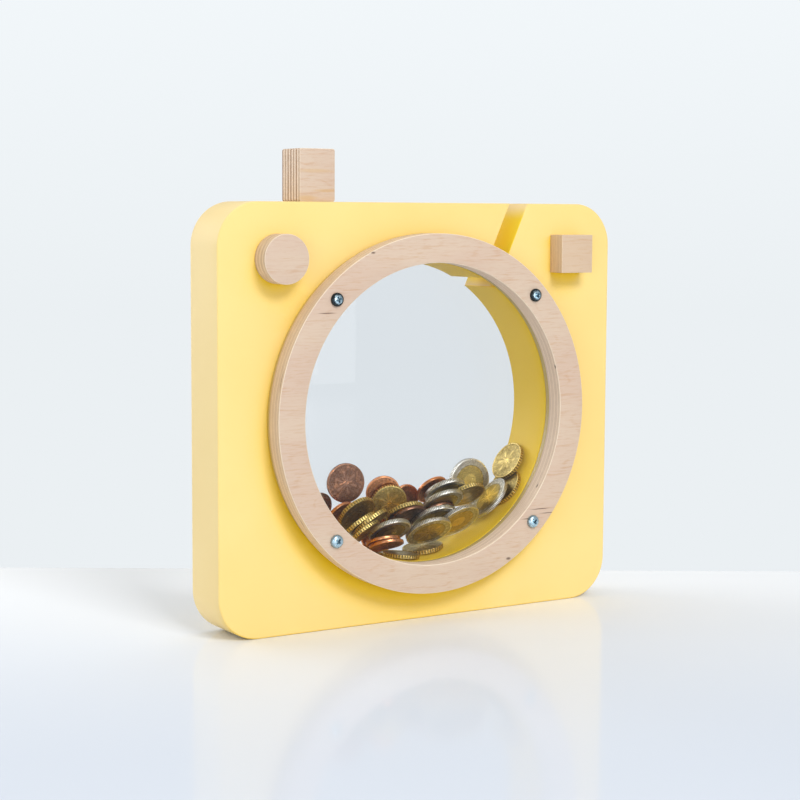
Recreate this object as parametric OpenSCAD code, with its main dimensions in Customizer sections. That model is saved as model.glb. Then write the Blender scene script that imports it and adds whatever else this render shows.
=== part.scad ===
// Wooden money box in the shape of a camera: a painted slab with a round window
// chamber, a screwed-on plywood ring over a clear pane, plywood trim and its coins.
// Origin: centre of the slab's underside. +X to the right, +Y to the back, +Z up.

/* [Body] */
// Width of the slab
body_w = 242; // [225:1:320]
// Height of the slab
body_h = 220; // [210:1:300]
// Depth of the slab, front to back
body_t = 30.5; // [30:0.5:45]
// Radius of the slab's four corners
corner_r = 22.5; // [5:0.5:26]
// Radius of the coin chamber bored through the slab
bore_r = 79; // [77:0.5:85]

/* [Coin slot] */
// Width of the slot between its two walls
slot_w = 10.3; // [5:0.1:12]
// Slope of the slot above the horizontal
slot_slope = 65.6; // [60:0.2:75]
// Distance from the slab's middle to the slot at the top edge
slot_top_x = 59.5; // [50:0.5:65]

/* [Front ring and panes] */
// Width of the ring's flat face, inside edge to outside edge
ring_w = 15.2; // [12:0.1:18]
// Thickness of the ring's plywood
ring_t = 10.4; // [6:0.1:15]
// Size of the ring's eased edges
ring_ease = 0.6; // [0.2:0.1:1.5]
// Thickness of each clear pane
pane_t = 3; // [2:0.5:5]
// How far the panes' edge stays inside the ring's outer edge
pane_inset = 0.8; // [0:0.1:3]

/* [Screws] */
// Outer diameter of the screws' thread
screw_d = 3.5; // [3:0.1:4]
// Diameter of the screws' heads
head_d = 7; // [5.5:0.1:8]
// Height of the screws' heads
head_h = 2.3; // [1.5:0.1:3]
// Length of a front screw inside the slab
front_bite = 15; // [10:0.5:17]
// Length of a back screw inside the slab
back_bite = 9; // [6:0.5:10]

/* [Shutter block] */
// Width of the block on the top edge
shutter_w = 20.4; // [12:0.2:30]
// Depth of the block on the top edge, front to back
shutter_d = 18.8; // [12:0.2:26]
// Height of the block above the top edge
shutter_h = 26.8; // [15:0.2:40]
// Radius of the block's four edges that run front to back
shutter_r = 1.2; // [0.5:0.1:4]
// Distance from the slab's left side to the middle of the block
shutter_from_side = 59.5; // [45:0.5:90]

/* [Dial and viewfinder] */
// Thickness of the plywood that the dial and the viewfinder are cut from
trim_t = 11; // [9:0.5:16]
// Diameter of the dial
dial_d = 25; // [16:0.5:30]
// Distance from the slab's left side to the middle of the dial
dial_from_side = 33; // [20:0.5:36]
// Distance from the slab's top edge to the middle of the dial
dial_from_top = 28.5; // [20:0.5:32]
// Side of the square viewfinder
finder_side = 20.5; // [14:0.5:24]
// Distance from the slab's right side to the middle of the viewfinder
finder_from_side = 30; // [18:0.5:33]
// Distance from the slab's top edge to the middle of the viewfinder
finder_from_top = 27; // [18:0.5:30]

/* [Dowels] */
// Diameter of the dowels that locate the three trim pieces
dowel_d = 6; // [4:0.5:8]
// Length of each dowel inside the slab
dowel_in_body = 12; // [8:0.5:16]
// Length of each dowel inside its trim piece
dowel_in_trim = 7; // [4:0.5:8]

/* [Hidden] */
$fn = 96;
eps = 0.01;
cut = 1;

// Clearances
shank_clearance = 0.05;
ring_hole_clearance = 0.3;
pilot_tip = 1;
dowel_clearance = 0.05;
dowel_end_gap = 0.5;
coin_gap = 0.3;

// Planes of the stack along Y
front_y = -body_t / 2;
back_y = body_t / 2;
pane_front_y = front_y - pane_t;
ring_front_y = pane_front_y - ring_t;
pane_back_y = back_y + pane_t;

// Ring, panes and their screws
bore_z = body_h / 2;
ring_r = bore_r + ring_w;
pane_r = ring_r - pane_inset;
screw_ring_r = bore_r + ring_w / 2;
front_screw_len = ring_t + pane_t + front_bite;
back_screw_len = pane_t + back_bite;
hole_r = screw_d / 2 + ring_hole_clearance;
pilot_r = screw_d / 2 + shank_clearance;
tip_len = screw_d;
recess_w = 1.1;
recess_len = 0.62 * head_d;
recess_h = 0.6 * head_h;
SCREW_ANGLES = [135, 45, 225, 315];

// Trim
shutter_x = shutter_from_side - body_w / 2;
dial_x = dial_from_side - body_w / 2;
dial_z = body_h - dial_from_top;
finder_x = body_w / 2 - finder_from_side;
finder_z = body_h - finder_from_top;
dowel_len = dowel_in_body + dowel_in_trim;
dowel_hole_r = dowel_d / 2 + dowel_clearance;
trim_ease = 0.4;

// Slot: how far down its middle line the chamber begins
slot_dir = [-cos(slot_slope), -sin(slot_slope)];
slot_from_bore = [slot_top_x, body_h - bore_z];
slot_along = -(slot_from_bore * slot_dir);
slot_off = norm(slot_from_bore + slot_along * slot_dir);
slot_len = slot_along - sqrt(bore_r * bore_r - slot_off * slot_off) + slot_w;

// Coins: [diameter, thickness], with the width and depth of the raised rim
COPPER_SMALL = [16.25, 1.67];
COPPER_MEDIUM = [18.75, 1.67];
COPPER_LARGE = [21.25, 1.67];
BRASS_SMALL = [19.75, 1.93];
BRASS_MEDIUM = [22.25, 2.14];
BIMETAL_SMALL = [23.25, 2.33];
BIMETAL_LARGE = [25.75, 2.2];
coin_rim_w = 0.9;
coin_rim_h = 0.12;

// The heap is made of runs of coins that lie against each other like fallen
// dominoes. A run is [angle, y, height, lean, heading, coins]: its top coin's
// centre is that angle around the chamber from the lowest line, positive to the
// right, and that height above the chamber's wall. The coins' axis leans from
// upright towards the heading, and each coin is [kind, down, across]: how far it
// has slid down and across the run. Each lies one coin below the one before.
RUNS = [
    // lying on the chamber's floor, from left to right
    [-5.8, -5.2, 1.8, 5.8, 0, [[BRASS_SMALL, 0, 0]]],
    [8.7, 4, 2, 8.7, 180, [[BRASS_MEDIUM, 0, 0]]],
    // fallen stack against the front pane, on the left
    [-33.8, 8.8, 12, 58, 104, [[COPPER_MEDIUM, 0, 0]]],
    [-29.3, 3.3, 17, 54, 102, [[BRASS_MEDIUM, 0, 0]]],
    [-26.9, 1, 11, 43, 124, [[BRASS_MEDIUM, 0, 0]]],
    [-22.7, -1, 15, 43, 124, [[BRASS_MEDIUM, 0, 0]]],
    [-24.1, -1.3, 9.2, 43, 124, [[BRASS_SMALL, 0, 0]]],
    // above the floor in front of the middle
    [-15.5, -5, 7.8, 24, 84, [[COPPER_MEDIUM, 0, 0], [COPPER_MEDIUM, 0, -1.5]]],
    [-13, -4.5, 13.7, 38, 88, [[BIMETAL_SMALL, 0, 0]]],
    // middle, left of centre
    [-2.6, 0.2, 23.2, 38, 92, [[BRASS_MEDIUM, 0, 0], [COPPER_LARGE, 0, -1]]],
    // middle, right of centre
    [27, 0.1, 28, 38, 92, [
        [BIMETAL_SMALL, 0, 0], [BRASS_MEDIUM, 2, -14], [BIMETAL_SMALL, 2.5, 2],
        [COPPER_LARGE, 10.5, 3], [BRASS_SMALL, 10.5, 2], [BIMETAL_LARGE, 8, 8.2]]],
    [8.6, -4.5, 12.5, 40, 88, [[BIMETAL_LARGE, 0, 0]]],
    // right
    [25.5, -3.2, 10.6, 46, 98, [[BIMETAL_LARGE, 0, 0]]],
    // standing against the back pane, behind the heap
    [-12, 9.9, 9.6, 90, 90, [[COPPER_MEDIUM, 0, 0]]],
    [-7.6, 12.9, 11.3, 84, 90, [[BRASS_MEDIUM, 0, 0]]],
    // standing singles
    [-39.6, 12.4, 28.8, 90, 82, [[COPPER_LARGE, 0, 0]]],
    [-44.6, 10, 8.4, 80, 100, [[COPPER_SMALL, 0, 0]]],
    [-14.5, 7.6, 32.9, 76, 72, [[COPPER_MEDIUM, 0, 0]]],
    [-10.4, 5.5, 28.5, 75, 75, [[BRASS_SMALL, 0, 0]]],
    [4.9, 11.7, 27.9, 76, 95, [[COPPER_MEDIUM, 0, 0]]],
    [22.7, 6.3, 30, 52, 95, [[COPPER_MEDIUM, 0, 0]]],
    [47.8, 13.6, 14, 88, 90, [[BIMETAL_LARGE, 0, 0]]],
    // leaning on the right wall
    [64.3, 4, 4, 58, 180, [[BRASS_MEDIUM, 0, 0]]],
    [53.3, -1.2, 2.2, 53, 180, [[BRASS_MEDIUM, 0, 0]]],
    [45.2, -1.4, 6.2, 50, 168, [[BIMETAL_LARGE, 0, 0]]],
];

// Modules

// Draws a shape of the XZ plane and gives it the depth from y0 to y1.
module upright(y0, y1) {
    translate([0, y1, 0]) rotate([90, 0, 0]) linear_extrude(y1 - y0) children();
}

// Turns a shape made along +Z so that it points out of the slab's front or back.
module outward(side) {
    rotate([side < 0 ? 90 : -90, 0, 0]) children();
}

module rounded_rectangle(w, h, r) {
    translate([-w / 2 + r, 0]) square([w - 2 * r, h]);
    translate([-w / 2, r]) square([w, h - 2 * r]);
    for (x = [-w / 2 + r, w / 2 - r], z = [r, h - r]) translate([x, z]) circle(r);
}

module slot_outline() {
    translate([slot_top_x, body_h]) rotate(slot_slope) translate([-slot_len, -slot_w / 2])
        square([slot_len + slot_w, slot_w]);
}

// Puts its children on each screw's axis, at the plane y, pointing outwards.
module at_screw(angle, y, side) {
    translate([screw_ring_r * cos(angle), y, bore_z + screw_ring_r * sin(angle)])
        outward(side) children();
}

module pilot(depth, side) {
    for (angle = SCREW_ANGLES)
        at_screw(angle, side * body_t / 2, side)
            translate([0, 0, -depth]) cylinder(h = depth + cut, r = pilot_r);
}

module dowel_hole(depth) {
    translate([0, 0, -depth - dowel_end_gap])
        cylinder(h = depth + dowel_end_gap + cut, r = dowel_hole_r);
}

module at_shutter() {
    translate([shutter_x, 0, body_h]) children();
}

module at_dial() {
    translate([dial_x, front_y, dial_z]) outward(-1) children();
}

module at_finder() {
    translate([finder_x, front_y, finder_z]) outward(-1) children();
}

module body() {
    color([1, 0.91, 0.58])
        difference() {
            upright(front_y, back_y) rounded_rectangle(body_w, body_h, corner_r);
            upright(front_y - cut, back_y + cut) {
                translate([0, bore_z]) circle(bore_r, $fn = 180);
                slot_outline();
            }
            pilot(front_bite + pilot_tip, -1);
            pilot(back_bite + pilot_tip, 1);
            at_shutter() dowel_hole(dowel_in_body);
            at_dial() dowel_hole(dowel_in_body);
            at_finder() dowel_hole(dowel_in_body);
        }
}

// Trim pieces, made with their back on the plane z = 0

module blind_hole() {
    translate([0, 0, -cut]) cylinder(h = cut + dowel_in_trim + dowel_end_gap, r = dowel_hole_r);
}

module shutter_block() {
    color([0.93, 0.85, 0.75])
        at_shutter()
            difference() {
                upright(-shutter_d / 2, shutter_d / 2)
                    rounded_rectangle(shutter_w, shutter_h, shutter_r);
                blind_hole();
            }
}

module dial() {
    color([0.9, 0.81, 0.73])
        at_dial()
            difference() {
                rotate_extrude()
                    polygon([
                        [0, 0], [dial_d / 2, 0], [dial_d / 2, trim_t - trim_ease],
                        [dial_d / 2 - trim_ease, trim_t], [0, trim_t]]);
                blind_hole();
            }
}

module viewfinder() {
    color([0.9, 0.78, 0.65])
        at_finder()
            difference() {
                translate([-finder_side / 2, -finder_side / 2, 0])
                    cube([finder_side, finder_side, trim_t]);
                blind_hole();
            }
}

module dowel() {
    color([0.85, 0.72, 0.55])
        translate([0, 0, -dowel_in_body]) cylinder(h = dowel_len, d = dowel_d);
}

module shutter_dowel() {
    at_shutter() dowel();
}

module dial_dowel() {
    at_dial() dowel();
}

module viewfinder_dowel() {
    at_finder() dowel();
}

// Cover and back pane

module clearance_holes(y, thickness, side) {
    for (angle = SCREW_ANGLES)
        at_screw(angle, y, side)
            translate([0, 0, -thickness - cut]) cylinder(h = thickness + 2 * cut, r = hole_r);
}

module front_ring() {
    color([0.9, 0.8, 0.71])
        difference() {
            translate([0, pane_front_y, bore_z]) outward(-1)
                rotate_extrude($fn = 180)
                    polygon([
                        [bore_r, 0], [ring_r, 0], [ring_r, ring_t - ring_ease],
                        [ring_r - ring_ease, ring_t], [bore_r + ring_ease, ring_t],
                        [bore_r, ring_t - ring_ease]]);
            clearance_holes(ring_front_y, ring_t, -1);
        }
}

module front_pane() {
    color([0.85, 0.92, 0.95, 0.25])
        difference() {
            upright(pane_front_y, front_y) translate([0, bore_z]) circle(pane_r, $fn = 180);
            clearance_holes(pane_front_y, pane_t, -1);
        }
}

module back_pane() {
    color([0.85, 0.92, 0.95, 0.25])
        difference() {
            upright(back_y, pane_back_y) translate([0, bore_z]) circle(pane_r, $fn = 180);
            clearance_holes(pane_back_y, pane_t, 1);
        }
}

// Screws

// A pan-head screw whose head rests on the plane z = 0, with its tip at -len.
module screw(len) {
    shank_r = screw_d / 2;
    head_r = head_d / 2;
    color([0.75, 0.78, 0.82])
        difference() {
            rotate_extrude()
                polygon([
                    [0, -len], [0.2, -len], [shank_r, -len + tip_len], [shank_r, 0], [head_r, 0],
                    [head_r, 0.35 * head_h], [0.94 * head_r, 0.65 * head_h],
                    [0.78 * head_r, 0.88 * head_h], [0.5 * head_r, head_h], [0, head_h]]);
            for (turn = [0, 90])
                rotate(turn)
                    translate([-recess_len / 2, -recess_w / 2, head_h - recess_h])
                        cube([recess_len, recess_w, recess_h + cut]);
        }
}

module front_screw(i) {
    at_screw(SCREW_ANGLES[i], ring_front_y, -1) screw(front_screw_len);
}

module back_screws() {
    for (angle = SCREW_ANGLES) at_screw(angle, pane_back_y, 1) screw(back_screw_len);
}

// Coins

// How far below a run's first coin its coin number i lies.
function level(coins, i) =
    i == 0 ? 0 : level(coins, i - 1) + (coins[i - 1][0][1] + coins[i][0][1]) / 2 + coin_gap;

module coin(kind) {
    r = kind[0] / 2;
    t = kind[1] / 2;
    rotate_extrude()
        polygon([
            [0, -t + coin_rim_h], [r - coin_rim_w, -t + coin_rim_h], [r - coin_rim_w, -t],
            [r, -t], [r, t], [r - coin_rim_w, t], [r - coin_rim_w, t - coin_rim_h],
            [0, t - coin_rim_h]]);
}

// Every coin of one kind in the heap.
module coins(kind) {
    for (run = RUNS) {
        angle = run[0];
        from_axis = bore_r - run[2];
        list = run[5];
        translate([from_axis * sin(angle), run[1], bore_z - from_axis * cos(angle)])
            rotate([0, run[3], run[4]])
                for (i = [0:len(list) - 1])
                    if (list[i][0] == kind)
                        translate([list[i][1], list[i][2], -level(list, i)]) coin(kind);
    }
}

module coins_copper_small() {
    color([0.75, 0.45, 0.32]) coins(COPPER_SMALL);
}

module coins_copper_medium() {
    color([0.72, 0.42, 0.3]) coins(COPPER_MEDIUM);
}

module coins_copper_large() {
    color([0.68, 0.42, 0.32]) coins(COPPER_LARGE);
}

module coins_brass_small() {
    color([0.82, 0.68, 0.38]) coins(BRASS_SMALL);
}

module coins_brass_medium() {
    color([0.8, 0.66, 0.36]) coins(BRASS_MEDIUM);
}

module coins_bimetal_small() {
    color([0.78, 0.76, 0.7]) coins(BIMETAL_SMALL);
}

module coins_bimetal_large() {
    color([0.78, 0.76, 0.7]) coins(BIMETAL_LARGE);
}

body();
shutter_block();
shutter_dowel();
dial();
dial_dowel();
viewfinder();
viewfinder_dowel();
front_ring();
front_pane();
back_pane();
front_screw(0);  // front_screw_upper_left
front_screw(1);  // front_screw_upper_right
front_screw(2);  // front_screw_lower_left
front_screw(3);  // front_screw_lower_right
back_screws();
coins_copper_small();
coins_copper_medium();
coins_copper_large();
coins_brass_small();
coins_brass_medium();
coins_bimetal_small();
coins_bimetal_large();
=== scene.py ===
"""The looks of a wooden money box shaped like a camera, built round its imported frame."""

import math
import random

import bmesh
import bpy
from mathutils import Matrix, Vector


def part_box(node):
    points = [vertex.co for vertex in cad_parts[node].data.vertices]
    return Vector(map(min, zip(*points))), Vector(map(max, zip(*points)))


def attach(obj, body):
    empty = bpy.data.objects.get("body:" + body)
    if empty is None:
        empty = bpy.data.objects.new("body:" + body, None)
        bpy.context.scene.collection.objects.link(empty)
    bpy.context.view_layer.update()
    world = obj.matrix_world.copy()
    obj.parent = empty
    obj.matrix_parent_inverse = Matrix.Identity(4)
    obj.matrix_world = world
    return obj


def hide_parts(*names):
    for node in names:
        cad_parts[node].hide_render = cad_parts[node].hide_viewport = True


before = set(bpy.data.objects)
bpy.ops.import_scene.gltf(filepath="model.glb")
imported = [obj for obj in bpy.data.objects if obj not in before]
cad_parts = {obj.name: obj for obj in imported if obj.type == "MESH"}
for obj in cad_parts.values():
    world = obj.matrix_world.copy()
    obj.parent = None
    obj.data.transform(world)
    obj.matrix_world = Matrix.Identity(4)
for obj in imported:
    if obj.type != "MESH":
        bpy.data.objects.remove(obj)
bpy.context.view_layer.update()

MM = 0.001

# Camera, fitted to the photograph: metres, radians, and millimetres for the lens and sensor
CAMERA_AT = Vector((-0.52198, -0.82809, 0.21316))
CAMERA_YAW = 0.5574
CAMERA_PITCH = 0.0997
CAMERA_ROLL = 0.005
CAMERA_LENS = 82.91
CAMERA_SENSOR = 36

# The share of its brightness that the pale wall sheds on everything
WALL_LIGHT = 0.55

# Sizes that the frame's boxes don't give, in metres
BORE_R = 79 * MM
CORNER_R = 22.5 * MM
SLAB_EASE = 0.9 * MM
SLOT_W = 10.3 * MM
SLOT_SLOPE = math.radians(65.6)
SLOT_TOP_X = 59.5 * MM
SHUTTER_R = 1.2 * MM
VIEWFINDER_R = 0.4 * MM
TRIM_EASE = 0.35 * MM
VIEWFINDER_EASE = 0.3 * MM
RING_EASE = 0.5 * MM
SCREW_SHANK_R = 1.75 * MM
SCREW_CORE_R = 1.25 * MM
THREAD_PITCH = 1.5 * MM
PILOT_R = 1.8 * MM
PILOT_DEPTH = 16 * MM
RING_HOLE_R = 2.05 * MM
SCREW_ANGLES = {
    "upper_left": math.radians(135),
    "upper_right": math.radians(45),
    "lower_left": math.radians(225),
    "lower_right": math.radians(315),
}

# Gaps that keep touching faces out of one plane
PANE_GAP = 0.02 * MM
HEAD_GAP = 0.02 * MM

# The front pane's clear disc and the gap round it, and how deep a shank starts in its head
SIGHT_R = BORE_R + 0.2 * MM
MARGIN_GAP = 0.05 * MM
SHANK_ROOT = 0.3 * MM

# Points nearer each other than this become one, in metres
WELD = 1e-6

# Steps in the ring's and panes' circles, the chamber, a slab corner, the dial, a hole and a screw
ROUND_STEPS = 240
CHAMBER_STEPS = 180
CORNER_STEPS = 24
DIAL_STEPS = 96
HOLE_STEPS = 24
HEAD_STEPS = 64
SHANK_STEPS = 24

# How far from a trim piece or the ring the paint gets painted shade
SHADE_REACH = 25 * MM

# Places and sizes worked out from the frame
body_low, body_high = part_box("body")
ring_low, ring_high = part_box("front_ring")
pane_low, pane_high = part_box("front_pane")
front_y, back_y = body_low.y, body_high.y
body_w, body_h = body_high.x - body_low.x, body_high.z
ring_r = (ring_high.x - ring_low.x) / 2
pane_r = (pane_high.x - pane_low.x) / 2
centre_z = (ring_high.z + ring_low.z) / 2
screw_ring_r = (BORE_R + ring_r) / 2


# Node helpers


class Nodes:
    """A short way to build one material's node tree."""

    def __init__(self, name):
        self.material = bpy.data.materials.new(name)
        self.material.use_nodes = True
        self.tree = self.material.node_tree
        self.tree.nodes.clear()

    def add(self, kind, settings=None, **inputs):
        """Adds a node; in an input's name an underscore stands for a space."""
        node = self.tree.nodes.new("ShaderNode" + kind)
        for key, value in (settings or {}).items():
            setattr(node, key, value)
        for key, value in inputs.items():
            self.put(node, key.replace("_", " "), value)
        return node

    def put(self, node, socket, value):
        """Links a socket's value to an input, or sets the input to a plain value."""
        target = node.inputs[int(socket)] if socket.isdigit() else node.inputs[socket]
        if isinstance(value, bpy.types.NodeSocket):
            self.tree.links.new(value, target)
        else:
            target.default_value = value

    def math(self, operation, a, b=0.0):
        node = self.add("Math", {"operation": operation})
        self.put(node, "0", a)
        self.put(node, "1", b)
        return node.outputs[0]

    def times(self, a, b):
        return self.math("MULTIPLY", a, b)

    def plus(self, a, b):
        return self.math("ADD", a, b)

    def minus(self, a, b):
        return self.math("SUBTRACT", a, b)

    def absolute(self, value):
        return self.math("ABSOLUTE", value)

    def distance(self, a, b):
        return self.math("SQRT", self.plus(self.times(a, a), self.times(b, b)))

    def vector(self, operation, a, b=None, output=0):
        node = self.add("VectorMath", {"operation": operation})
        self.put(node, "0", a)
        if b is not None:
            self.put(node, "1", b)
        return node.outputs[output]

    def scaled(self, vector, scale):
        node = self.add("Mapping", {"vector_type": "POINT"}, Vector=vector, Scale=scale)
        return node.outputs[0]

    def noise(self, vector, scale, detail=3.0, roughness=0.5):
        node = self.add(
            "TexNoise", Vector=vector, Scale=scale, Detail=detail, Roughness=roughness)
        return node.outputs["Fac"]

    def span(self, value, low, high, to_low=0.0, to_high=1.0):
        """Turns low..high into to_low..to_high, eased at both ends."""
        node = self.add("MapRange", {"interpolation_type": "SMOOTHSTEP"}, Value=value)
        self.put(node, "From Min", low)
        self.put(node, "From Max", high)
        self.put(node, "To Min", to_low)
        self.put(node, "To Max", to_high)
        return node.outputs[0]

    def mix(self, factor, a, b):
        node = self.add("Mix", {"data_type": "RGBA"})
        self.put(node, "0", factor)
        self.put(node, "6", a)
        self.put(node, "7", b)
        return node.outputs[2]

    def bump(self, height, distance, strength):
        node = self.add("Bump", Height=height, Distance=distance, Strength=strength)
        return node.outputs[0]

    def object_place(self):
        return self.add("TexCoord").outputs["Object"]

    def true_normal(self):
        return self.add("NewGeometry").outputs["True Normal"]

    def split(self, vector):
        node = self.add("SeparateXYZ", Vector=vector)
        return node.outputs["X"], node.outputs["Y"], node.outputs["Z"]

    def join(self, x, y, z):
        node = self.add("CombineXYZ", X=x, Y=y, Z=z)
        return node.outputs[0]

    def finish(self, shader):
        self.add("OutputMaterial", Surface=shader.outputs[0])
        return self.material


def rgb(red, green, blue):
    """A colour given in sRGB, 0 to 255, as Blender's linear RGBA."""
    linear = []
    for c in (red, green, blue):
        linear.append(c / 255 / 12.92 if c <= 10 else ((c / 255 + 0.055) / 1.055) ** 2.4)
    return (*linear, 1.0)


# Materials

PAINT_OPEN = (rgb(240, 208, 130), rgb(242, 212, 137))
PAINT_SIDE_SHEEN = rgb(238, 216, 166)
PAINT_SHADE_UNDER_TRIM = (0.86, 0.56, 0.01, 1)
PAINT_SLOT_SHADE = (0.95, 0.7, 0.045, 1)
PAINT_CHAMBER_SHADE = (0.94, 0.64, 0.045, 1)


def yellow_paint():
    """Satin paint, with painted sheen on the slab's narrow sides and painted shade below and beside
    the trim and the ring, in the slot and on the chamber wall.
    """
    n = Nodes("yellow_paint")
    place = n.object_place()
    x, y, z = n.split(place)
    normal = n.true_normal()
    cloud = n.noise(place, 14, 2)
    grain = n.noise(n.scaled(place, (60, 60, 900)), 1.0, 4)
    peel = n.noise(place, 1400, 2)

    tint = n.mix(n.span(cloud, 0.35, 0.7), *PAINT_OPEN)
    # painted sheen: the slab's narrow sides paler than its front and back
    narrow = n.span(n.absolute(n.split(normal)[1]), 0.3, 0.8, 0.5, 0.0)
    tint = n.mix(narrow, tint, PAINT_SIDE_SHEEN)

    # painted shade below and beside the trim and the ring, on the front only
    upward = n.vector("ADD", normal, (0.1, -0.1, 1.3))
    shade_probe = n.add("AmbientOcclusion", {"samples": 8}, Distance=SHADE_REACH, Normal=upward)
    corner = n.span(shade_probe.outputs["AO"], 0.3, 0.84, 1.0, 0.0)
    corner = n.times(corner, n.span(y, front_y + 2 * MM, front_y + 8 * MM, 1.0, 0.0))
    tint = n.mix(corner, tint, PAINT_SHADE_UNDER_TRIM)

    # painted shade inside the slot, from just below the top edge down to the chamber
    drop = n.minus(body_h, z)
    sideways = n.times(n.minus(x, SLOT_TOP_X), math.sin(SLOT_SLOPE))
    off_slot = n.absolute(n.plus(n.times(drop, math.cos(SLOT_SLOPE)), sideways))
    slot = n.span(off_slot, SLOT_W / 2 + 0.1 * MM, SLOT_W / 2 + 0.5 * MM, 1.0, 0.0)
    length = n.times(n.span(drop, 1 * MM, 9 * MM), n.span(drop, 40 * MM, 45 * MM, 1.0, 0.0))
    tint = n.mix(n.times(slot, length), tint, PAINT_SLOT_SHADE)

    # painted shade: the chamber wall deeper and darker all round
    away = n.distance(x, n.minus(z, centre_z))
    chamber = n.span(away, BORE_R + 0.1 * MM, BORE_R + 0.7 * MM, 1.0, 0.0)
    tint = n.mix(n.times(chamber, 0.9), tint, PAINT_CHAMBER_SHADE)

    height = n.plus(n.times(grain, 0.5), n.times(peel, 0.6))
    shader = n.add(
        "BsdfPrincipled",
        Base_Color=tint,
        Roughness=n.span(peel, 0.2, 0.8, 0.42, 0.5),
        IOR=1.32,
        Normal=n.bump(height, 0.06 * MM, 0.6),
    )
    return n.finish(shader)


PLY_FACE = rgb(205, 182, 160)
PLY_PINK = rgb(202, 176, 155)
PLY_LINE = rgb(184, 134, 92)
PLY_PALE = rgb(230, 206, 181)
PLY_END = rgb(148, 104, 64)
PLY_GLUE = rgb(130, 94, 62)
PLY_CRACK = rgb(84, 58, 42)
PLY_STAIN = rgb(200, 161, 108)
PLY_ARRIS_HIGHLIGHT = rgb(242, 228, 204)
GLUE_LINE = 0.09 * MM


def plywood(name, box, plies, flaws=(), contrast=1.0):
    """Birch plywood with its sheets stacked along Y.

    flaws holds marks as (centre, size, shade, strength); contrast is how dark the end grain is.
    """
    n = Nodes(name)
    low, high = box
    sheet = (high.y - low.y) / plies
    place = n.object_place()
    x, y, z = n.split(place)
    level = n.math("DIVIDE", n.minus(y, low.y - 0.02 * sheet), sheet)
    index = n.math("MINIMUM", n.math("FLOOR", level), plies - 1.0)
    inside = n.minus(level, index)
    crossed = n.math("GREATER_THAN", n.math("FRACT", n.times(index, 0.5)), 0.25)

    # long fibres run along X in the face sheets and along Z in the crossed ones
    deep = n.plus(n.times(y, 900), n.times(index, 0.37))
    along = n.join(n.times(x, 90), deep, n.times(z, 1100))
    across = n.join(n.times(x, 1100), deep, n.times(z, 90))
    fibre = n.mix(crossed, along, across)
    fine = n.noise(fibre, 1.0, 4, 0.6)
    pore = n.noise(fibre, 2.2, 2, 0.4)

    # growth figure of the peeled face sheets
    bend = n.noise(n.scaled(place, (11, 9, 30)), 1.0, 2)
    figure = n.math("FRACT", n.times(bend, 11.0))
    ring_line = n.span(n.absolute(n.minus(figure, 0.5)), 0.0, 0.12, 1.0, 0.0)
    patch = n.noise(n.scaled(place, (16, 16, 45)), 1.0, 2)

    colour = n.mix(n.span(patch, 0.35, 0.65), PLY_FACE, PLY_PINK)
    colour = n.mix(n.times(ring_line, n.span(fine, 0.4, 0.6, 0.0, 0.26)), colour, PLY_LINE)
    colour = n.mix(n.span(fine, 0.45, 0.75, 0.0, 0.26), colour, PLY_LINE)
    colour = n.mix(n.span(pore, 0.6, 0.7, 0.0, 0.22), colour, PLY_LINE)

    # the sides are paler, with dark end grain where a sheet's fibres come out
    nx, ny, nz = n.split(n.true_normal())
    flat = n.absolute(ny)
    side = n.span(flat, 0.4, 0.8, 1.0, 0.0)
    colour = n.mix(n.times(side, 0.85), colour, PLY_PALE)
    facing = n.mix(crossed, n.join(nx, nx, nx), n.join(nz, nz, nz))
    end = n.span(n.absolute(n.split(facing)[0]), 0.45, 0.95)
    stripe = n.span(n.absolute(n.minus(inside, 0.5)), 0.12, 0.5, 1.0, 0.0)
    tone = n.plus(n.times(n.math("FRACT", n.times(index, 0.309)), 0.5), 0.5)
    end = n.times(n.times(end, stripe), n.times(tone, contrast))
    colour = n.mix(n.times(end, side), colour, PLY_END)
    # painted highlight: a pale line on the rounded arris between face and side
    arris_highlight = n.times(n.span(flat, 0.2, 0.4), n.span(flat, 0.85, 0.97, 1.0, 0.0))
    colour = n.mix(n.times(arris_highlight, 0.6), colour, PLY_ARRIS_HIGHLIGHT)

    # thin dark glue lines, seen on the sides only
    glue_width = GLUE_LINE / sheet
    edge = n.math("MINIMUM", inside, n.minus(1.0, inside))
    broken = n.span(n.noise(place, 260, 2), 0.3, 0.6, 0.35, 0.9)
    glue = n.times(n.span(edge, glue_width * 0.4, glue_width * 1.6, 1.0, 0.0), broken)
    glue = n.times(glue, side)
    colour = n.mix(n.times(glue, 0.75), colour, PLY_GLUE)

    height = n.minus(n.times(fine, 0.6), n.times(glue, 0.8))
    for centre, size, shade, strength in flaws:
        from_centre = n.vector("DIVIDE", n.vector("SUBTRACT", place, centre), size)
        ragged = n.plus(n.vector("LENGTH", from_centre, output="Value"), n.times(fine, 0.5))
        mark = n.times(n.span(ragged, 0.5, 1.4, 1.0, 0.0), strength)
        colour = n.mix(mark, colour, shade)
        if shade == PLY_CRACK:
            height = n.minus(height, mark)

    shader = n.add(
        "BsdfPrincipled",
        Base_Color=colour,
        Roughness=n.span(fine, 0.3, 0.7, 0.5, 0.66),
        Normal=n.bump(height, 0.08 * MM, 0.8),
    )
    return n.finish(shader)


def beech():
    """Plain beech, for the dowels."""
    n = Nodes("beech")
    fine = n.noise(n.scaled(n.object_place(), (600, 60, 600)), 1.0, 3)
    colour = n.mix(fine, rgb(205, 165, 120), rgb(178, 132, 90))
    return n.finish(n.add("BsdfPrincipled", Base_Color=colour, Roughness=0.6))


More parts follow.
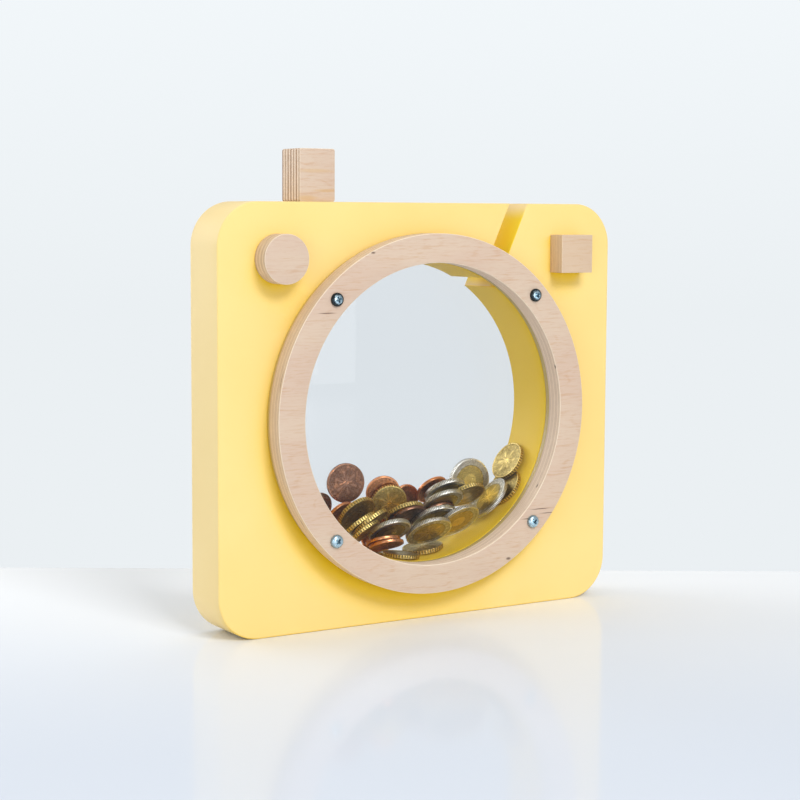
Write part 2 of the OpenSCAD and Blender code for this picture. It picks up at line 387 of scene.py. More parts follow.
def clear_pane():
    """Thin clear sheet: tinted straight-through light and a faint mirror, but a plain edge."""
    n = Nodes("clear_pane")
    smear = n.noise(n.scaled(n.object_place(), (12, 12, 3)), 1.0, 3)
    share = n.add("Fresnel", IOR=1.3)
    through = n.add("BsdfTransparent", Color=(0.965, 0.97, 0.975, 1))
    mirror = n.add(
        "BsdfAnisotropic", Color=(1, 1, 1, 1), Roughness=n.span(smear, 0.3, 0.8, 0.02, 0.06))
    mixed = n.add("MixShader")
    faces = n.span(n.absolute(n.split(n.true_normal())[1]), 0.5, 0.9, 0.0, 0.7)
    n.put(mixed, "0", n.times(share.outputs[0], faces))
    n.put(mixed, "1", through.outputs[0])
    n.put(mixed, "2", mirror.outputs[0])
    return n.finish(mixed)


def pane_margin_painted_light():
    """The clamped margin of the front pane, opaque and painted with light: the lit wood seen
    through it, and a yellowish edge.
    """
    n = Nodes("pane_margin_painted_light")
    cloud = n.noise(n.object_place(), 40, 2)
    # painted view through the sheet: lit yellow paint on the edge, lit wood on the faces
    edge = n.mix(cloud, rgb(196, 170, 104), rgb(206, 182, 122))
    faces = n.span(n.absolute(n.split(n.true_normal())[1]), 0.4, 0.8)
    tint = n.mix(faces, edge, rgb(206, 180, 150))
    return n.finish(n.add("BsdfPrincipled", Base_Color=tint, Roughness=0.25))


def zinc(name, rim, bright_r):
    """Bright zinc plate with painted shade: the head painted dark, by the share rim, outside the
    radius bright_r, for a dark reflection, and the cross recess painted dark.
    """
    n = Nodes(name)
    place = n.object_place()
    x, y, z = n.split(place)
    away = n.distance(x, y)
    blotch = n.noise(place, 900, 3)
    # painted dark reflection on the head outside bright_r, with a ragged edge
    notched = n.plus(away, n.times(n.minus(blotch, 0.5), 1.6 * MM))
    dark = n.times(n.span(notched, bright_r, bright_r + 0.9 * MM), rim)
    # painted shade deep in the cross recess; the shank below gets it too
    deep = n.span(z, 0.2 * MM, 1.4 * MM, 0.95, 0.0)
    recess = n.times(deep, n.span(away, 2.2 * MM, 2.6 * MM, 1.0, 0.0))
    shade = n.math("MAXIMUM", dark, recess)
    plate = n.mix(blotch, rgb(200, 220, 228), rgb(160, 192, 208))
    colour = n.mix(shade, plate, rgb(34, 40, 42))
    shader = n.add(
        "BsdfPrincipled",
        Base_Color=colour,
        Metallic=1.0,
        Roughness=n.span(blotch, 0.3, 0.7, 0.2, 0.4),
        Normal=n.bump(blotch, 0.06 * MM, 0.6),
    )
    return n.finish(shader)


def coin_metal(name, bright, worn, dirt, wear_low, core=None):
    """Worn coin metal, duller the lower wear_low is; the mesh's maps hold place and grime."""
    n = Nodes(name)
    spot = n.add("UVMap", {"uv_map": "coin"}).outputs[0]
    u, v, _ = n.split(spot)
    away = n.distance(u, v)
    place = n.object_place()
    stain = n.noise(place, 260, 4, 0.65)
    speck = n.noise(place, 1300, 2, 0.6)
    scratch = n.noise(n.scaled(place, (300, 2600, 300)), 1.0, 2)
    wear = n.span(stain, wear_low, wear_low + 0.3)
    metal = n.mix(wear, bright, worn)
    if core is not None:
        inner = n.span(away, 0.705, 0.715, 1.0, 0.0)
        metal = n.mix(inner, metal, n.mix(wear, *core))
        groove = n.times(n.span(away, 0.69, 0.71), n.span(away, 0.71, 0.73, 1.0, 0.0))
        metal = n.mix(n.times(groove, 0.7), metal, dirt)
    hollow = n.add("Attribute", {"attribute_name": "grime"}).outputs["Fac"]
    metal = n.mix(n.times(hollow, n.span(speck, 0.35, 0.65, 0.55, 1.0)), metal, dirt)
    height = n.plus(n.times(scratch, 0.3), n.times(speck, n.span(hollow, 0.0, 0.4, 0.15, 1.0)))
    shader = n.add(
        "BsdfPrincipled",
        Base_Color=metal,
        Metallic=1.0,
        Roughness=n.span(n.plus(stain, n.times(hollow, 0.3)), 0.3, 0.9, 0.24, 0.5),
        Normal=n.bump(height, 0.12 * MM, 0.7),
    )
    return n.finish(shader)


# Mesh helpers


def smooth(mesh, angle=35):
    """Shades the mesh smooth, but for edges sharper than the angle in degrees."""
    for polygon in mesh.polygons:
        polygon.use_smooth = True
    mesh.set_sharp_from_angle(angle=math.radians(angle))


def add_object(name, mesh, material, body, replaced, matrix=None):
    """Adds a visible piece that rides on a body and stands for a CAD node."""
    piece = bpy.data.objects.new(name, mesh)
    bpy.context.scene.collection.objects.link(piece)
    if matrix is not None:
        piece.matrix_world = matrix
    if not mesh.materials:
        mesh.materials.append(material)
    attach(piece, body)
    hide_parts(replaced)


def arc(centre, radius, start, end, steps):
    """Points from the angle start to the angle end round the centre."""
    angles = [start + (end - start) * i / steps for i in range(steps + 1)]
    return [(centre[0] + radius * math.cos(a), centre[1] + radius * math.sin(a)) for a in angles]


def circle(centre, radius, steps):
    return arc(centre, radius, 0, math.tau, steps)[:-1]


def rounded_box(low, high, radius, steps):
    """The outline, in X and Z, of a box with its four corners rounded."""
    left, right = low.x + radius, high.x - radius
    bottom, top = low.z + radius, high.z - radius
    loop = []
    for quarter, centre in enumerate(((right, top), (left, top), (left, bottom), (right, bottom))):
        start = math.radians(90 * quarter)
        loop += arc(centre, radius, start, math.radians(90 * quarter + 90), steps)
    return loop


def plate_mesh(name, loops, low_y, high_y, ease, segments=3):
    """A plate in the XZ plane from closed outlines, with its edges rounded by ease."""
    curve = bpy.data.curves.new(name, "CURVE")
    curve.dimensions = "2D"
    curve.fill_mode = "BOTH"
    curve.extrude = (high_y - low_y) / 2 - ease
    curve.bevel_depth = ease
    curve.bevel_resolution = segments
    curve.offset = -ease
    for loop in loops:
        spline = curve.splines.new("POLY")
        spline.points.add(len(loop) - 1)
        spline.use_cyclic_u = True
        for point, (x, z) in zip(spline.points, loop):
            point.co = (x, z, 0, 1)
    shape = bpy.data.objects.new(name, curve)
    bpy.context.scene.collection.objects.link(shape)
    bpy.context.view_layer.update()
    depsgraph = bpy.context.evaluated_depsgraph_get()
    mesh = bpy.data.meshes.new_from_object(shape.evaluated_get(depsgraph))
    bpy.data.objects.remove(shape)
    bpy.data.curves.remove(curve)
    mesh.name = name
    upright = Matrix.Rotation(math.pi / 2, 4, "X")
    mesh.transform(Matrix.Translation((0, (low_y + high_y) / 2, 0)) @ upright)
    mesh.materials.clear()
    bm = bmesh.new()
    bm.from_mesh(mesh)
    bmesh.ops.remove_doubles(bm, verts=bm.verts, dist=WELD)
    bmesh.ops.recalc_face_normals(bm, faces=bm.faces)
    bm.to_mesh(mesh)
    bm.free()
    smooth(mesh)
    return mesh


def lathe_mesh(name, profile, steps):
    """Turns a profile of (radius, height) round Z; a radius of 0 closes it."""
    bm = bmesh.new()
    rows = []
    for radius, height in profile:
        if radius == 0:
            rows.append([bm.verts.new((0, 0, height))])
            continue
        row = []
        for i in range(steps):
            angle = math.tau * i / steps
            row.append(bm.verts.new((radius * math.cos(angle), radius * math.sin(angle), height)))
        rows.append(row)
    for low, high in zip(rows, rows[1:]):
        for i in range(steps):
            j = (i + 1) % steps
            corners = [
                low[i % len(low)], low[j % len(low)], high[j % len(high)], high[i % len(high)]]
            bm.faces.new(list(dict.fromkeys(corners)))
    bmesh.ops.recalc_face_normals(bm, faces=bm.faces)
    mesh = bpy.data.meshes.new(name)
    bm.to_mesh(mesh)
    bm.free()
    return mesh


def cut(mesh, cutters):
    """The mesh with the cutter meshes taken out of it."""
    target = bpy.data.objects.new("target", mesh)
    bpy.context.scene.collection.objects.link(target)
    tools = []
    for cutter in cutters:
        tool = bpy.data.objects.new("tool", cutter)
        bpy.context.scene.collection.objects.link(tool)
        tools.append(tool)
        modifier = target.modifiers.new("cut", "BOOLEAN")
        modifier.operation = "DIFFERENCE"
        modifier.solver = "EXACT"
        modifier.object = tool
    depsgraph = bpy.context.evaluated_depsgraph_get()
    result = bpy.data.meshes.new_from_object(target.evaluated_get(depsgraph))
    result.name = mesh.name
    for helper in [target, *tools]:
        bpy.data.objects.remove(helper)
    return result


def screw_point(angle):
    return screw_ring_r * math.cos(angle), centre_z + screw_ring_r * math.sin(angle)


def screw_holes():
    centres = [screw_point(angle) for angle in SCREW_ANGLES.values()]
    return [circle(centre, RING_HOLE_R, HOLE_STEPS) for centre in centres]


def at_screw(angle, y, side):
    """The place of a screw: local +Z points out of the box, on the plane y."""
    x, z = screw_point(angle)
    centre = Vector((x, y, z))
    turn = Matrix.Rotation(math.pi / 2 if side < 0 else -math.pi / 2, 4, "X")
    return Matrix.Translation(centre) @ turn


# Slab


def body_outline():
    """One closed line: round the slab, down the slot, round the chamber and back up."""
    half = body_w / 2
    along = Vector((math.cos(SLOT_SLOPE), math.sin(SLOT_SLOPE)))
    sideways = Vector((math.sin(SLOT_SLOPE), -math.cos(SLOT_SLOPE))) * SLOT_W / 2
    top = Vector((SLOT_TOP_X, body_h))

    def at_top(point):
        return point - along * (point.y - body_h) / along.y

    def at_bore(point):
        out = point - Vector((0, centre_z))
        slide = out.dot(along)
        square = slide * slide - out.length_squared + BORE_R * BORE_R
        return point + along * (math.sqrt(square) - slide)

    left_top, right_top = at_top(top - sideways), at_top(top + sideways)
    left_low, right_low = at_bore(top - sideways), at_bore(top + sideways)
    outline = []
    for cx, cz, start in ((-1, 1, 90), (-1, 0, 180), (1, 0, 270), (1, 1, 0)):
        centre = (cx * (half - CORNER_R), CORNER_R if cz == 0 else body_h - CORNER_R)
        outline += arc(
            centre, CORNER_R, math.radians(start), math.radians(start + 90), CORNER_STEPS)
    start = math.atan2(right_low.y - centre_z, right_low.x)
    end = math.atan2(left_low.y - centre_z, left_low.x) - math.tau
    chamber = arc((0, centre_z), BORE_R, start, end, CHAMBER_STEPS)
    return [tuple(left_top), *outline, tuple(right_top), *chamber]


def make_body(material):
    mesh = plate_mesh("slab", [body_outline()], front_y, back_y, SLAB_EASE)
    over = 5 * MM
    profile = [(0, -PILOT_DEPTH), (PILOT_R, -PILOT_DEPTH), (PILOT_R, over), (0, over)]
    pits = []
    for angle in SCREW_ANGLES.values():
        pit = lathe_mesh("pit", profile, HOLE_STEPS)
        pit.transform(at_screw(angle, front_y, -1))
        pits.append(pit)
    mesh = cut(mesh, pits)
    smooth(mesh)
    add_object("painted_slab", mesh, material, "case", "body")


# Trim


def make_shutter_block():
    low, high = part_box("shutter_block")
    loop = rounded_box(low, high, SHUTTER_R, 6)
    mesh = plate_mesh("shutter_block_wood", [loop], low.y, high.y, TRIM_EASE)
    stains = [
        (low.x + 9 * MM, low.z + 15.6 * MM, 14 * MM, 1.3 * MM, 0.45),
        (high.x - 5 * MM, low.z + 5.6 * MM, 9 * MM, 1.1 * MM, 0.55),
        (low.x + 4 * MM, low.z + 1.8 * MM, 7 * MM, 2 * MM, 0.6),
    ]
    flaws = [
        ((x, low.y, z), (wide, 3 * MM, tall), PLY_STAIN, strength)
        for x, z, wide, tall, strength in stains]
    material = plywood("plywood_18", (low, high), 13, flaws, 1.4)
    add_object("shutter_block_wood", mesh, material, "case", "shutter_block")


def make_dial():
    low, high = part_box("dial")
    centre = ((low.x + high.x) / 2, (low.z + high.z) / 2)
    disc = circle(centre, (high.x - low.x) / 2, DIAL_STEPS)
    mesh = plate_mesh("dial_wood", [disc], low.y, high.y, TRIM_EASE)
    material = plywood("plywood_dial", (low, high), 7, contrast=0.5)
    add_object("dial_wood", mesh, material, "case", "dial")


def make_viewfinder():
    low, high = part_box("viewfinder")
    loop = rounded_box(low, high, VIEWFINDER_R, 4)
    mesh = plate_mesh("viewfinder_wood", [loop], low.y, high.y, VIEWFINDER_EASE)
    warm = ((low + high) / 2, (60 * MM, 60 * MM, 60 * MM), PLY_STAIN, 0.25)
    material = plywood("plywood_viewfinder", (low, high), 7, [warm], 0.15)
    add_object("viewfinder_wood", mesh, material, "case", "viewfinder")


# Cover

# Marks in the ring's wood, in millimetres: place across, place behind the front face, place
# up, then half the width, depth and height
RING_MARKS = (
    (-91.7, 2.0, 131.5, 3.0, 0.3, 7.5),
    (-79.2, 3.4, 59.0, 2.6, 0.3, 3.2),
    (75.9, 0.8, 132.2, 1.5, 0.7, 1.6),
    (66.5, 3.2, 67.4, 1.5, 0.7, 1.4),
    (-66.8, 0.0, 164.5, 6.0, 0.6, 0.35),
    (-40.0, 0.0, 194.5, 1.6, 0.6, 0.7),
    (45.6, 0.0, 29.8, 1.8, 0.6, 1.0),
    (67.0, 0.0, 55.2, 8.0, 0.6, 0.35),
    (72.0, 0.0, 52.6, 7.0, 0.6, 0.3),
    (60.0, 0.0, 50.4, 7.0, 0.6, 0.4),
)


def make_ring():
    middle = (0, centre_z)
    rims = [circle(middle, radius, ROUND_STEPS) for radius in (ring_r, BORE_R)]
    loops = [*rims, *screw_holes()]
    mesh = plate_mesh("ring_wood", loops, ring_low.y, ring_high.y, RING_EASE)
    flaws = []
    for x, y, z, wide, deep, tall in RING_MARKS:
        centre = (x * MM, ring_low.y + y * MM, z * MM)
        flaws.append((centre, (wide * MM, deep * MM, tall * MM), PLY_CRACK, 0.85))
    material = plywood("plywood_ring", (ring_low, ring_high), 7, flaws, 0.3)
    add_object("ring_wood", mesh, material, "cover", "front_ring")


def add_sheet(name, loops, node, body, material, ease):
    """A clear sheet as deep as its CAD node, less the gap on each face."""
    low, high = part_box(node)
    mesh = plate_mesh(name, loops, low.y + PANE_GAP, high.y - PANE_GAP, ease, 2)
    add_object(name, mesh, material, body, node)


def make_panes():
    """The back pane whole; the front one as a clear disc inside the margin that the ring clamps."""
    clear, margin = clear_pane(), pane_margin_painted_light()
    radii = (pane_r, SIGHT_R + MARGIN_GAP, SIGHT_R)
    rim, inner, sight = [circle((0, centre_z), radius, ROUND_STEPS) for radius in radii]
    ease = 0.05 * MM
    add_sheet("front_pane_sheet", [sight], "front_pane", "cover", clear, ease)
    margin_loops = [rim, inner, *screw_holes()]
    add_sheet("front_pane_sheet_margin", margin_loops, "front_pane", "cover", margin, ease)
    add_sheet("back_pane_sheet", [rim, *screw_holes()], "back_pane", "case", clear, 0.15 * MM)


# Screws

# The head's outline, as shares of its radius and height
HEAD_DOME = (
    (0, 1.0), (0.35, 0.985), (0.6, 0.93), (0.78, 0.83), (0.9, 0.68),
    (0.97, 0.5), (1.0, 0.3), (1.0, 0.06), (0.97, 0.0))
RECESS_W = 1.05 * MM
RECESS_LENGTH = 4.3 * MM
RECESS_TOOL_H = 2.6 * MM


def recess_tool(head_h, turn):
    """One arm of the cross recess: narrow at its floor, and standing out above the head."""
    bm = bmesh.new()
    bmesh.ops.create_cube(bm, size=1)
    for vert in bm.verts:
        x, y, z = vert.co
        wide = 1.0 if z > 0 else 0.45
        height = head_h + (z - 0.1) * RECESS_TOOL_H
        vert.co = Vector((x * RECESS_LENGTH * wide, y * RECESS_W, height))
    bmesh.ops.rotate(bm, verts=bm.verts, matrix=Matrix.Rotation(turn, 3, "Z"))
    tool = bpy.data.meshes.new("recess")
    bm.to_mesh(tool)
    bm.free()
    return tool


def screw_mesh(name, length, head_r, head_h):
    """A pan-head screw with a cross recess: head up from z = 0, point down at -length."""
    rise = head_h - HEAD_GAP
    profile = [(head_r * r, HEAD_GAP + rise * h) for r, h in HEAD_DOME]
    profile += [(SCREW_CORE_R, HEAD_GAP), (0, HEAD_GAP)]
    head = lathe_mesh(name, profile, HEAD_STEPS)
    head = cut(head, [recess_tool(head_h, turn) for turn in (0, math.pi / 2)])

    bm = bmesh.new()
    bm.from_mesh(head)
    rows = []
    steps = SHANK_STEPS
    step_down = THREAD_PITCH / 8
    point_length = 4.4 * SCREW_SHANK_R
    reach = length + SHANK_ROOT
    for level in range(int(reach / step_down) + 1):
        depth = level * step_down
        taper = min(1.0, (reach - depth) / point_length + 0.05)
        row = []
        for i in range(steps):
            angle = math.tau * i / steps
            phase = (depth / THREAD_PITCH + i / steps) % 1.0
            crest = max(0.0, 1 - abs(phase - 0.5) * 4.5)
            r = (SCREW_CORE_R + (SCREW_SHANK_R - SCREW_CORE_R) * crest) * taper
            row.append(bm.verts.new((r * math.cos(angle), r * math.sin(angle), SHANK_ROOT - depth)))
        rows.append(row)
    for above, below in zip(rows, rows[1:]):
        for i in range(steps):
            j = (i + 1) % steps
            bm.faces.new((above[i], above[j], below[j], below[i]))
    bm.faces.new(rows[-1])
    bm.faces.new(rows[0])
    bmesh.ops.recalc_face_normals(bm, faces=bm.faces)
    mesh = bpy.data.meshes.new(name)
    bm.to_mesh(mesh)
    bm.free()
    smooth(mesh, 30)
    return mesh


def make_screws():
    bodies = {
        "upper_left": "screw_ul", "upper_right": "screw_ur",
        "lower_left": "screw_ll", "lower_right": "screw_lr"}
    turns = {"upper_left": 20, "upper_right": 38, "lower_left": 50, "lower_right": 40}
    low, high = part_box("front_screw_upper_left")
    head_r = (high.x - low.x) / 2
    head_h = ring_low.y - low.y
    front = screw_mesh("front_screw_metal", high.y - ring_low.y, head_r, head_h)
    # the upper screws take a copy with a stronger painted dark reflection on the head
    dark, plain = zinc("zinc_painted_dark_rim", 0.95, 1.7 * MM), zinc("zinc", 0.3, 2.5 * MM)
    for place, angle in SCREW_ANGLES.items():
        mesh = front.copy()
        material = dark if place.startswith("upper") else plain
        turn = Matrix.Rotation(math.radians(turns[place]), 4, "Z")
        matrix = at_screw(angle, ring_low.y, -1) @ turn
        node = "front_screw_" + place
        add_object("screw_" + place, mesh, material, bodies[place], node, matrix)
    low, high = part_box("back_screws")
    pane_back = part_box("back_pane")[1].y
    back = screw_mesh("back_screw_metal", pane_back - low.y, head_r, head_h)
    for place, angle in SCREW_ANGLES.items():
        turn = Matrix.Rotation(math.radians(turns[place] + 15), 4, "Z")
        matrix = at_screw(angle, pane_back, 1) @ turn
        add_object("back_screw_" + place, back, plain, "case", "back_screws", matrix)


# Coins

RIM_W = 0.9 * MM
RIM_H = 0.2 * MM
RIM_EASE = 0.18 * MM
RELIEF_H = 0.17 * MM
CORE_SHARE = 0.7  # a two-metal coin's core, as a share of the radius


def smoothstep(value, low, high):
    t = min(1.0, max(0.0, (value - low) / (high - low)))
    return t * t * (3 - 2 * t)


def blob(x, y, cx, cy, size):
    return max(0.0, 1 - math.hypot(x - cx, y - cy) / size)


def pip_side(x, y):
    """A ring of pips round a six-leafed rosette."""
    r, a = math.hypot(x, y), math.atan2(y, x)
    turns = [math.tau * i / 18 for i in range(18)]
    pips = max(blob(x, y, 0.8 * math.cos(t), 0.8 * math.sin(t), 0.055) for t in turns)
    leaves = smoothstep(0.5 + 0.14 * math.cos(6 * a) - r, 0, 0.05)
    leaves *= 0.55 + 0.45 * math.cos(12 * a)
    hub = smoothstep(0.16 - r, 0, 0.04)
    return max(pips * 1.6, leaves * 0.8, hub)


def branch_side(x, y):
    """Two leafy branches round a plain disc with a line across it."""
    height = smoothstep(0.34 - math.hypot(x, y), 0, 0.03) * 0.7
    for side in (-1, 1):
        for i in range(7):
            a = math.radians(-70 + 24 * i)
            cx, cz = side * 0.66 * math.cos(a), 0.66 * math.sin(a)
            lean = a + math.pi / 2 + 0.5
            dx, dy = x - cx, y - cz
            along = side * dx * math.cos(lean) + dy * math.sin(lean)
            over = -side * dx * math.sin(lean) + dy * math.cos(lean)
            height = max(height, 1 - math.hypot(along / 0.13, over / 0.055))
    return max(0.0, height)


def coin_mesh(name, radius, half_t, ridges, bimetal):
    """A coin round Z with a raised rim, relief on both faces and a ridged edge.

    The map "coin" holds each point's place on the face, and "grime" how much dirt sits there.
    """
    rings = 22
    steps = 4 * ridges if ridges else 144
    notch = 0.32 * MM if ridges < 60 else 0.12 * MM  # few ridges are cut deeper
    face = half_t - RIM_H
    inner = radius - RIM_W
    radii = [inner * i / rings for i in range(rings + 1)]
    if bimetal:
        radii = sorted(set(radii + [radius * CORE_SHARE, radius * (CORE_SHARE + 0.015)]))
    bm = bmesh.new()
    uv = bm.loops.layers.uv.new("coin")
    grime = bm.verts.layers.float.new("grime")

    def add_vert(r, a, z, dirt):
        vert = bm.verts.new((r * math.cos(a), r * math.sin(a), z))
        vert[grime] = dirt
        return vert

    def face_rows(side, relief):
        rows = []
        for r in radii[1:]:
            ring = []
            for i in range(steps):
                a = math.tau * i / steps
                lift = 0.0
                if r < inner * 0.97:
                    lift = min(1.0, relief(r / radius * math.cos(a), r / radius * math.sin(a)))
                ring.append(add_vert(r, a, side * (face + lift * RELIEF_H), 0.55 * (1 - lift)))
            rows.append(ring)
        return rows

    top, bottom = face_rows(1, pip_side), face_rows(-1, branch_side)
    upper = (
        (inner + 0.12 * MM, half_t, 0),
        (radius - RIM_EASE, half_t, 0),
        (radius - 0.05 * MM, half_t - RIM_EASE * 0.45, 0.5),
        (radius, half_t - RIM_EASE, 1),
    )
    edge = []
    for r, z, ridged in (*upper, *((r, -z, ridged) for r, z, ridged in reversed(upper))):
        ring = []
        for i in range(steps):
            dip = ridged if ridges and i % 4 > 1 else 0.0
            ring.append(add_vert(r - notch * dip, math.tau * i / steps, z, 0.9 * dip))
        edge.append(ring)
    rows = [*top, *edge, *reversed(bottom)]
    poles = [add_vert(0, 0, face, 0.4), add_vert(0, 0, -face, 0.4)]
    for i in range(steps):
        j = (i + 1) % steps
        bm.faces.new((poles[0], rows[0][i], rows[0][j]))
        bm.faces.new((poles[1], rows[-1][j], rows[-1][i]))
        for near, far in zip(rows, rows[1:]):
            bm.faces.new((near[i], far[i], far[j], near[j]))
    for polygon in bm.faces:
        for loop in polygon.loops:
            loop[uv].uv = (loop.vert.co.x / radius, loop.vert.co.y / radius)
    bmesh.ops.recalc_face_normals(bm, faces=bm.faces)
    mesh = bpy.data.meshes.new(name)
    bm.to_mesh(mesh)
    bm.free()
    smooth(mesh, 50)
    return mesh


def coin_places(node):
    """(centre, axis, radius, half thickness) of each separate coin in a CAD node."""
    bm = bmesh.new()
    bm.from_mesh(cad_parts[node].data)
    bmesh.ops.remove_doubles(bm, verts=bm.verts, dist=WELD)
    todo = set(bm.faces)
    places = []
    for first in bm.faces:
        if first not in todo:
            continue
        todo.remove(first)
        stack = [first]
        island = []
        while stack:
            polygon = stack.pop()
            island.append(polygon)
            for edge in polygon.edges:
                for other in edge.link_faces:
                    if other in todo:
                        todo.remove(other)
                        stack.append(other)
        axis = max(island, key=lambda f: f.calc_area()).normal.copy()
        # up, or forwards where the coin stands upright, so that rounding can't turn it over
        upright = abs(axis.z) < 0.001
        if axis.y > 0 and upright or axis.z < 0 and not upright:
            axis.negate()
        across = axis.orthogonal().normalized()
        third = axis.cross(across)
        points = {v for polygon in island for v in polygon.verts}
        spans = []
        for direction in (across, third, axis):
            reach = [v.co.dot(direction) for v in points]
            spans.append((min(reach), max(reach)))
        centre = Vector()
        for (low, high), direction in zip(spans, (across, third, axis)):
            centre += (low + high) / 2 * direction
        radius, half_t = ((spans[i][1] - spans[i][0]) / 2 for i in (0, 2))
        places.append((centre, axis, radius, half_t))
    bm.free()
    return sorted(places, key=lambda place: tuple(round(c, 5) for c in place[0]))


def make_coins():
    copper_tones = (rgb(232, 160, 112), rgb(142, 103, 82), rgb(40, 28, 24))
    brass_tones = (rgb(232, 204, 126), rgb(166, 140, 76), rgb(36, 29, 18))
    copper = coin_metal("coin_copper", *copper_tones, 0.2)
    brass = coin_metal("coin_brass", *brass_tones, 0.5)
    new_copper = coin_metal("coin_copper_new", *copper_tones, 0.55)
    nickel = coin_metal(
        "coin_nickel", rgb(244, 240, 230), rgb(176, 170, 156), rgb(32, 30, 27), 0.5,
        (rgb(236, 212, 130), rgb(184, 158, 86)))
    kinds = {
        "coins_copper_small": (copper, 0, False),
        "coins_copper_medium": (new_copper, 0, False),
        "coins_copper_large": (copper, 0, False),
        "coins_brass_small": (brass, 40, False),
        "coins_brass_medium": (brass, 44, False),
        "coins_bimetal_small": (nickel, 80, True),
        "coins_bimetal_large": (nickel, 90, True),
    }
    dice = random.Random(7)
    for node, (material, ridges, bimetal) in kinds.items():
        places = coin_places(node)
        _, _, radius, half_t = places[0]
        mesh = coin_mesh(node + "_metal", radius, half_t, ridges, bimetal)
        for number, (centre, axis, _, _) in enumerate(places, 1):
            turn = axis.to_track_quat("Z", "Y").to_matrix().to_4x4()
            flip = Matrix.Rotation(math.pi if dice.random() < 0.4 else 0.0, 4, "X")
            spin = Matrix.Rotation(dice.uniform(0, math.tau), 4, "Z")
            matrix = Matrix.Translation(centre) @ turn @ flip @ spin
            add_object(f"{node}_{number:02d}", mesh, material, "case", node, matrix)


# Stage

FLOOR_NEAR_SHADE = (0.68, 0.72, 0.79, 1)
FLOOR_FAR = (0.95, 0.955, 0.965, 1)
WALL_LOW = rgb(235, 240, 243)
WALL_HIGH = rgb(242, 247, 250)


def make_floor():
    """A glossy white table top with painted shade: darker near the camera, paler towards its far
    edge, which lies behind the box.
    """
    forward = Vector((math.sin(CAMERA_YAW), math.cos(CAMERA_YAW), 0))
    right = Vector((forward.y, -forward.x, 0))
    ground = Vector((CAMERA_AT.x, CAMERA_AT.y, 0))
    far, near, side = 1.1, -1.6, 2.6  # metres from the camera
    corners = [
        ground + forward * ahead + right * across
        for ahead, across in ((far, side), (far, -side), (near, -side), (near, side))]
    thickness = Vector((0, 0, -0.02))
    mesh = bpy.data.meshes.new("table_top")
    points = [tuple(c) for c in corners] + [tuple(c + thickness) for c in corners]
    walls = [(i, (i + 1) % 4, (i + 1) % 4 + 4, i + 4) for i in range(4)]
    mesh.from_pydata(points, [], [(0, 1, 2, 3), (7, 6, 5, 4), *walls])
    n = Nodes("white_gloss")
    place = n.object_place()
    ripple = n.noise(place, 6, 2)
    # painted shade: the near part of the table darker
    away = n.vector("DOT_PRODUCT", place, forward, output="Value")
    shader = n.add(
        "BsdfPrincipled",
        Base_Color=n.mix(n.span(away, -0.3, 0.15), FLOOR_NEAR_SHADE, FLOOR_FAR),
        Roughness=0.08,
        IOR=1.16,
        Normal=n.bump(ripple, 0.4 * MM, 0.3),
    )
    mesh.materials.append(n.finish(shader))
    floor = bpy.data.objects.new("table_top", mesh)
    bpy.context.scene.collection.objects.link(floor)


def make_world():
    """A pale wall, a little brighter upwards, that sheds less light than the camera sees."""
    world = bpy.data.worlds.new("studio")
    bpy.context.scene.world = world
    world.use_nodes = True
    tree = world.node_tree
    parts = {}
    for kind in ("TexCoord", "SeparateXYZ", "MapRange", "Mix", "LightPath"):
        parts[kind] = tree.nodes.new("ShaderNode" + kind)
    rise, blend = parts["MapRange"], parts["Mix"]
    blend.data_type = "RGBA"
    rise.inputs["From Min"].default_value = -0.05
    rise.inputs["From Max"].default_value = 0.12
    blend.inputs[6].default_value = WALL_LOW
    blend.inputs[7].default_value = WALL_HIGH
    level = tree.nodes.new("ShaderNodeMapRange")
    level.inputs["To Min"].default_value = WALL_LIGHT
    tree.links.new(parts["LightPath"].outputs["Is Camera Ray"], level.inputs["Value"])
    tree.links.new(parts["TexCoord"].outputs["Generated"], parts["SeparateXYZ"].inputs[0])
    tree.links.new(parts["SeparateXYZ"].outputs["Z"], rise.inputs["Value"])
    tree.links.new(rise.outputs[0], blend.inputs[0])
    background = tree.nodes["Background"]
    tree.links.new(blend.outputs[2], background.inputs["Color"])
    tree.links.new(level.outputs[0], background.inputs["Strength"])


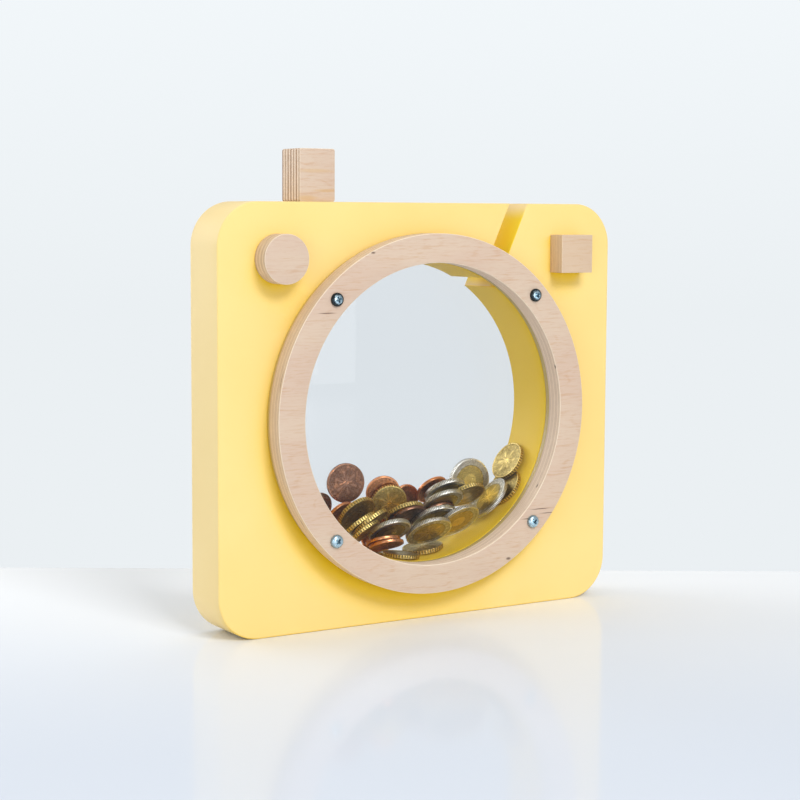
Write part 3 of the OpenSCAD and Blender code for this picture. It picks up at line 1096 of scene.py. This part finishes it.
def area_light(name, place, target, width, height, power, colour=(1, 1, 1)):
    """A softbox in metres and watts that the camera doesn't see."""
    data = bpy.data.lights.new(name, "AREA")
    data.shape = "RECTANGLE"
    data.size, data.size_y = width, height
    data.energy = power
    data.color = colour
    lamp = bpy.data.objects.new(name, data)
    lamp.location = place
    lamp.rotation_euler = (Vector(target) - Vector(place)).to_track_quat("-Z", "Y").to_euler()
    lamp.visible_camera = False
    bpy.context.scene.collection.objects.link(lamp)


def make_lights():
    middle = (0, 0, centre_z)
    area_light("key_softbox", (-0.07, -2.5, 2.1), middle, 1.2, 0.8, 54)
    area_light("sky_card", (0.2, 0.9, 1.7), (0.1, 0.4, 0), 1.8, 1.4, 8)
    area_light("front_card", (0.15, -2.0, 0.3), (0.06, 0, 0.04), 1.2, 0.5, 6)
    area_light("left_card", (-1.5, -1.2, 0.15), (0, 0, 0.05), 1.0, 0.8, 7.5, (0.92, 0.96, 1.0))
    area_light("side_card", (-0.8, 0.9, 0.5), middle, 1.0, 0.8, 7)


def make_camera():
    data = bpy.data.cameras.new("camera")
    data.lens = CAMERA_LENS
    data.sensor_width = CAMERA_SENSOR
    data.clip_start, data.clip_end = 0.05, 50
    camera = bpy.data.objects.new("camera", data)
    pitch, yaw = CAMERA_PITCH, CAMERA_YAW
    forward = Vector(
        (math.sin(yaw) * math.cos(pitch), math.cos(yaw) * math.cos(pitch), -math.sin(pitch)))
    level = Vector((math.cos(yaw), -math.sin(yaw), 0))
    upright = level.cross(forward)
    right = level * math.cos(CAMERA_ROLL) + upright * math.sin(CAMERA_ROLL)
    up = upright * math.cos(CAMERA_ROLL) - level * math.sin(CAMERA_ROLL)
    turn = Matrix((right, up, -forward)).transposed().to_4x4()
    camera.matrix_world = Matrix.Translation(CAMERA_AT) @ turn
    bpy.context.scene.collection.objects.link(camera)
    bpy.context.scene.camera = camera


def dress_dowels():
    """The dowels keep their CAD solids, because the trim hides them, and get a look only."""
    material = beech()
    for node in ("shutter_dowel", "dial_dowel", "viewfinder_dowel"):
        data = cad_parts[node].data
        data.materials.clear()
        data.materials.append(material)


make_camera()
make_world()
make_lights()
make_floor()
make_body(yellow_paint())
make_shutter_block()
make_dial()
make_viewfinder()
dress_dowels()
make_ring()
make_panes()
make_screws()
make_coins()
bpy.context.scene.view_settings.view_transform = "Standard"
